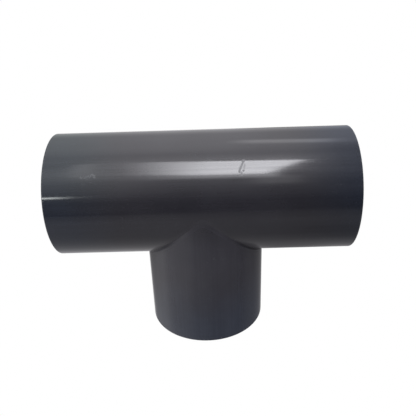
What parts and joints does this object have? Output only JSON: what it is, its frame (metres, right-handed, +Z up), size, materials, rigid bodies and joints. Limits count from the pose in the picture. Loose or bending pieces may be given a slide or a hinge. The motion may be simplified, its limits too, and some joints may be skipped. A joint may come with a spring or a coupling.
{
  "type": "pvc tee fitting",
  "caption": "Equal pipe tee of dark grey plastic: a straight run tube with a square branch and a tapered socket with a pipe stop at every end.",
  "frame": {"origin": "centre of the branch mouth's face, which is the bottom of the part", "axes": "+Z up along the branch's axis to the run, whose axis is at z = 0.156 m; +X along the run"},
  "size_m": [0.312, 0.1316, 0.2218],
  "materials": {
    "tube_plastic": "extruded dark grey PVC with a bright sheen and faint lengthwise lines",
    "weld_plastic": "PVC welding rod, dressed flush and polished",
    "ring_plastic": "turned dark grey PVC, satin"
  },
  "bodies": {
    "root": {"run_barrel": "tube_plastic", "branch_barrel": "tube_plastic", "seam_weld": "weld_plastic", "left_stop_ring": "ring_plastic", "right_stop_ring": "ring_plastic", "branch_stop_ring": "ring_plastic"}
  },
  "joints": []
}
